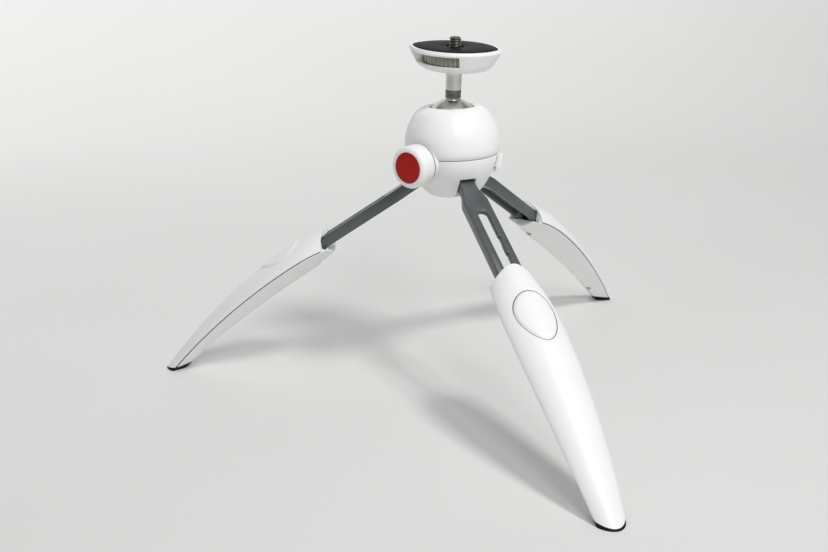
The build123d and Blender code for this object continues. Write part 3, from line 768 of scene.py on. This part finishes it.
def seam_shade_point(edge, row, column):
    """Point of the dark strip that lies behind the seam on one side: painted shade for the gap
    between the shells.
    """
    along = SHADE_STRIP_SPAN[0] + (SHADE_STRIP_SPAN[1] - SHADE_STRIP_SPAN[0]) * row
    half, _, seam, _ = section(along)
    return Vector((along, (half - 0.65) * edge, seam + (column - 0.5) * 1.6))


def gap_shade_point(row, column):
    """Point of the dark ledge under the gap round the button: painted shade for that gap."""
    spot = egg(row * 2 * pi, column * 1.0 - 0.3)
    spot.z = crown_height(spot.x, spot.y) - 0.85
    return spot


print("button", round(egg(pi).x - egg(0).x, 1), "mm long")

# %% [markdown]
# ## Three legs from one drawing
#
# All the drawing is done in the leg's own frame, so one loop makes the three legs. The
# two shells get a thin wall, the hole and the recesses are cut with a Boolean, and a
# dark strip behind the seam paints the shade of the fine gap that separates the shells.

# %% Three dressed legs
for leg in LEGS:
    matrix = leg_frames[leg]
    shape = loft(60, 40, upper_point)
    keep_above(shape, sole_point, sole_normal)
    cutter = tool(blade(), matrix)
    piece(shape, f"{leg}_upper", f"{leg}_sleeve", "white_plastic", matrix, f"{leg}_top_shell",
          wall=SHELL_WALL, edge=SHELL_EDGE, corner=50, cutter=cutter)
    bpy.data.objects.remove(cutter)
    shape = loft(60, 34, lower_point)
    keep_above(shape, sole_point, sole_normal)
    cutter = tool(screw_holes(), matrix)
    piece(shape, f"{leg}_lower", f"{leg}_sleeve", "white_plastic", matrix,
          f"{leg}_bottom_shell", wall=SHELL_WALL, edge=SHELL_EDGE, corner=50, cutter=cutter)
    bpy.data.objects.remove(cutter)
    shape = loft(22, 64, cap_point)
    piece(shape, f"{leg}_push_button", f"{leg}_button", "white_plastic", matrix,
          f"{leg}_button", wall=0.8, edge=0)
    # Dark strips behind the seam on both sides: painted shade that draws the fine gap between the
    # shells.
    for name, edge in (("left", 1), ("right", -1)):
        shape = loft(60, 2, lambda row, column: seam_shade_point(edge, row, column))
        keep_above(shape, sole_point, sole_normal)
        piece(shape, f"{leg}_{name}_shadow_strip", f"{leg}_sleeve", "inner_plastic", matrix, wall=0.3)
    # A dark ledge under the button's gap: painted shade for the gap round the button.
    shape = loft(64, 1, gap_shade_point)
    piece(shape, f"{leg}_button_gap_shade", f"{leg}_sleeve", "inner_plastic", matrix, wall=0.3)
    shape = loft(70, 64, foot_point)
    bmesh.ops.remove_doubles(shape, verts=shape.verts, dist=0.002)
    keep_above(shape, foot, plumb)
    keep_above(shape, sole_point, -sole_normal)
    bmesh.ops.holes_fill(shape, edges=shape.edges, sides=0)
    piece(shape, f"{leg}_rubber_foot", f"{leg}_sleeve", "black_rubber", matrix,
          f"{leg}_foot_pad", edge=0.15, corner=50)
    softened(f"{leg}_bar", "leg_bar_paint", 0.4)
print("legs dressed")

# %% [markdown]
# ## Dome, knob and red disc
#
# The upper housing is a turned dome with a soft shoulder and a thin rim round the ball.
# The lock knob is turned too, with a rounded front edge and a shallow recess that holds
# the red disc. A boss on the dome carries the knob. Spinning a profile is the natural
# way to make all of them.

# %% Dome and boss
BALL_Z = 145.8
SEAT_R = 14.95        # a little more than the ball, which has to turn in it
outer_line = through([(24.2, 130.85), (24.95, 132.4), (25.3, 135.2), (24.9, 140.0), (23.6, 144.6),
                      (21.8, 148.5), (19.6, 151.9), (17.0, 154.1), (14.6, 155.1), (13.0, 155.3),
                      (12.0, 155.1), (11.6, 154.4)], 5)
seat_line = [(SEAT_R * sin(radians(turn)), BALL_Z + SEAT_R * cos(radians(turn)))
             for turn in range(56, 90, 5)]
dome = turned_shape([tuple(point) for point in outer_line] + seat_line
                    + [(SEAT_R, 139.9), (13.4, 139.9), (13.4, 130.6), (23.9, 130.6),
                       (24.2, 130.85)], 128)
piece(dome, "dome", "housing", "white_plastic", head_frame, "upper_housing", corner=35)
boss = turned_shape([(2.2, 14.0), (8.2, 14.0), (8.2, 27.9), (8.0, 28.1), (2.2, 28.1), (2.2, 14.0)])
piece(boss, "knob_boss", "housing", "white_plastic", knob_frame)
# A dark ring just behind the knob: painted shade for the gap between the knob and its boss.
shade_ring = turned_shape([(8.4, 27.7), (10.3, 27.7), (10.3, 28.2), (8.4, 28.2), (8.4, 27.7)])
piece(shade_ring, "knob_gap_shade", "housing", "inner_plastic", knob_frame)
print("dome", round(outer_line[-1][1] - outer_line[0][1], 1), "mm high")

# %% [markdown]
# ## Lower housing
#
# It is turned like the dome and narrows to the bottom. The three legs swing in open
# slots, and a shallow flat gives room to the selector's tab. Each of these is a block
# drawn in a plane through the axis, and one Boolean takes them all away.

# %% Lower housing with its slots
def radial_block(shape, azimuth, outline, half_width):
    """Add a block to shape: an outline of (radius, height) in a plane through the axis."""
    out = Vector((cos(radians(azimuth)), sin(radians(azimuth)), 0))
    across = UP.cross(out)
    verts = [shape.verts.new(out * radius + UP * height - across * half_width)
             for radius, height in outline]
    face = shape.faces.new(verts)
    grown = bmesh.ops.extrude_face_region(shape, geom=[face])["geom"]
    bmesh.ops.translate(shape, vec=across * half_width * 2,
                        verts=[part for part in grown if isinstance(part, bmesh.types.BMVert)])


lower_line = through([(24.2, 130.0), (23.6, 126.2), (21.9, 121.6), (19.4, 117.0), (16.8, 112.8),
                      (14.3, 110.1), (12.6, 108.9), (10.8, 108.3)], 5)
lower = turned_shape([(0, 130.2), (24.0, 130.2)] + [tuple(point) for point in lower_line]
                     + [(8.6, 108.3), (8.6, 124.0), (0, 124.0)], 128)
LEG_AZIMUTHS = (-90, 30, 150)
TAB_AZIMUTH = -30
LEG_SLOT_HALF = 4.6
TAB_FLAT_HALF = 3.9
leg_slot = [(8.5, 100), (8.5, 123.6), (16.2, 123.6), (17.8, 120.1), (32, 120.1), (32, 100)]
tab_flat = [(22.6, 115.5), (22.6, 122.2), (23.2, 126), (23.9, 132), (30, 132), (30, 115.5)]
openings = bmesh.new()
for azimuth in LEG_AZIMUTHS:
    radial_block(openings, azimuth, leg_slot, LEG_SLOT_HALF)
radial_block(openings, TAB_AZIMUTH, tab_flat, TAB_FLAT_HALF)
cutter = tool(openings, head_frame)
piece(lower, "lower_shell", "housing", "white_plastic", head_frame, "lower_housing", corner=32,
      cutter=cutter)
bpy.data.objects.remove(cutter)
print("lower housing", len(lower_line), "profile points")

# %% [markdown]
# ## Lock knob
#
# The knob is a thick turned button. An arc of a quarter turn rounds its front, and the
# disc sits in the recess with a slightly crowned face, so that it catches the light.

# %% Knob and disc
KNOB_R = 10.9
KNOB_BACK, KNOB_FRONT = 28.6, 37.8
RECESS_R = 7.95
DISC_R = 7.86
DISC_BED = 36.4
SHAFT_R = 2.05
ROUND = 2.4           # radius of the front edge
shoulder = [(KNOB_R - ROUND + ROUND * cos(radians(turn)),
             KNOB_FRONT - ROUND + ROUND * sin(radians(turn))) for turn in range(0, 91, 10)]
back = [(SHAFT_R, KNOB_BACK), (10.3, KNOB_BACK), (10.7, KNOB_BACK + 0.15),
        (KNOB_R, KNOB_BACK + 0.55)]
recess = [(8.25, KNOB_FRONT), (8.02, KNOB_FRONT - 0.08), (RECESS_R, KNOB_FRONT - 0.35),
          (RECESS_R, DISC_BED), (SHAFT_R, DISC_BED), (SHAFT_R, KNOB_BACK)]
piece(turned_shape(back + shoulder + recess, 128), "knob", "knob", "white_plastic", knob_frame,
      "knob_body", corner=50)
disc_line = [(0, 36.45), (DISC_R, 36.45), (DISC_R, 37.75), (7.72, 37.9), (7.4, 37.98),
             (5.0, 38.04), (0, 38.06)]
piece(turned_shape(disc_line, 128), "red_disc", "knob", "red_gloss", knob_frame, "knob_disc",
      corner=60)
softened("selector_tab", "white_plastic", 0.4)
softened("base_cap", "white_plastic", 0.3)
print("knob and disc done")

# %% [markdown]
# ## Ball, neck and camera plate
#
# The ball runs up into a short stem through a small fillet. A darker collar joins it to
# the neck, which flares out under the plate. The plate keeps its measured windows and
# gets rounded edges. The camera screw gets a real thread: a helical groove, made by
# letting the radius follow the height and the turn.

# %% Ball, collar and neck
sphere = [(BALL_R * sin(radians(turn)), -BALL_R * cos(radians(turn)))
          for turn in range(0, 160, 3)]
fillet = through([sphere[-1], (4.3, 13.25), (4.0, 13.8), (3.95, 14.5)], 4)[1:]
ball_line = [(max(radius, 0), height)
             for radius, height in sphere + [tuple(point) for point in fillet]]
piece(turned_shape(ball_line + [(3.95, 15.0), (0, 15.0)], 128), "ball", "stem", "ball_metal",
      stem_frame, "ball_stem", corner=50)
collar = [(0, 14.1), (4.0, 14.1), (4.15, 14.3), (4.15, 15.5), (3.85, 15.7), (3.85, 16.1),
          (4.15, 16.3), (4.15, 17.9), (4.0, 18.1), (0, 18.1)]
piece(turned_shape(collar, 64), "collar", "stem", "dark_steel", stem_frame, corner=30)
neck = [tuple(point) for point in through([(4.1, 18.5), (4.15, 22.0), (4.2, 25.6), (4.7, 27.4),
                                           (6.0, 28.9)], 5)]
piece(turned_shape([(0, 18.2), (3.9, 18.2)] + neck + [(0, 28.9)], 96), "neck", "plate", "aluminium",
      stem_frame, "plate_neck", corner=50)
print("ball and neck done")

# %% [markdown]
# ## Camera screw and plate
#
# The thread has twenty turns to the inch, which is a pitch of 1.27 millimetres. A grid
# is rolled into a tube whose radius follows a zigzag along the helix. The plate, its
# pad and its ribbed wheel keep their measured form and get rounded edges.

# %% Plate, pad, wheel and screw
THREAD = (40.8, 45.3)
THREAD_R = 3.17
THREAD_DEPTH = 0.7
PITCH = 1.27


def thread_point(row, column):
    """Point of the threaded shank."""
    height = THREAD[0] + (THREAD[1] - THREAD[0]) * row
    phase = (height / PITCH - column) % 1
    radius = THREAD_R - THREAD_DEPTH * abs(phase * 2 - 1)
    radius = min(radius, 2.2 + (THREAD[1] - height) * 1.4)
    return Vector((radius * cos(column * 2 * pi), radius * sin(column * 2 * pi), height))


screw = loft(64, 48, thread_point)
bmesh.ops.remove_doubles(screw, verts=screw.verts, dist=0.002)
bmesh.ops.holes_fill(screw, edges=screw.edges, sides=0)
piece(screw, "camera_thread", "camera_screw", "dark_steel", stem_frame, "camera_screw", corner=60)
shank = [(0, 32.3), (2.95, 32.3), (2.95, 41.2), (0, 41.2)]
piece(turned_shape(shank, 48), "camera_shank", "camera_screw", "dark_steel", stem_frame)
softened("plate_shell", "white_plastic", 0.45)
softened("rubber_pad", "black_rubber", 0.35)
softened("thumb_wheel", "wheel_metal", 0.12, 60)
print("head dressed")

# %% [markdown]
# ## The measured parts that stay
#
# Pins, screws, springs and the lock's inner parts already have the right shape. They
# keep it and only get a finish, the one that the record names for them.

# %% Finishes on the measured parts
slots = {part["node"]: part["material_slot"] for part in frame["record"]["subparts"]}
for node, part in frame["nodes"].items():
    part.data.materials.clear()
    part.data.materials.append(finishes[slots[node]])
print("dressed", len(slots), "parts")
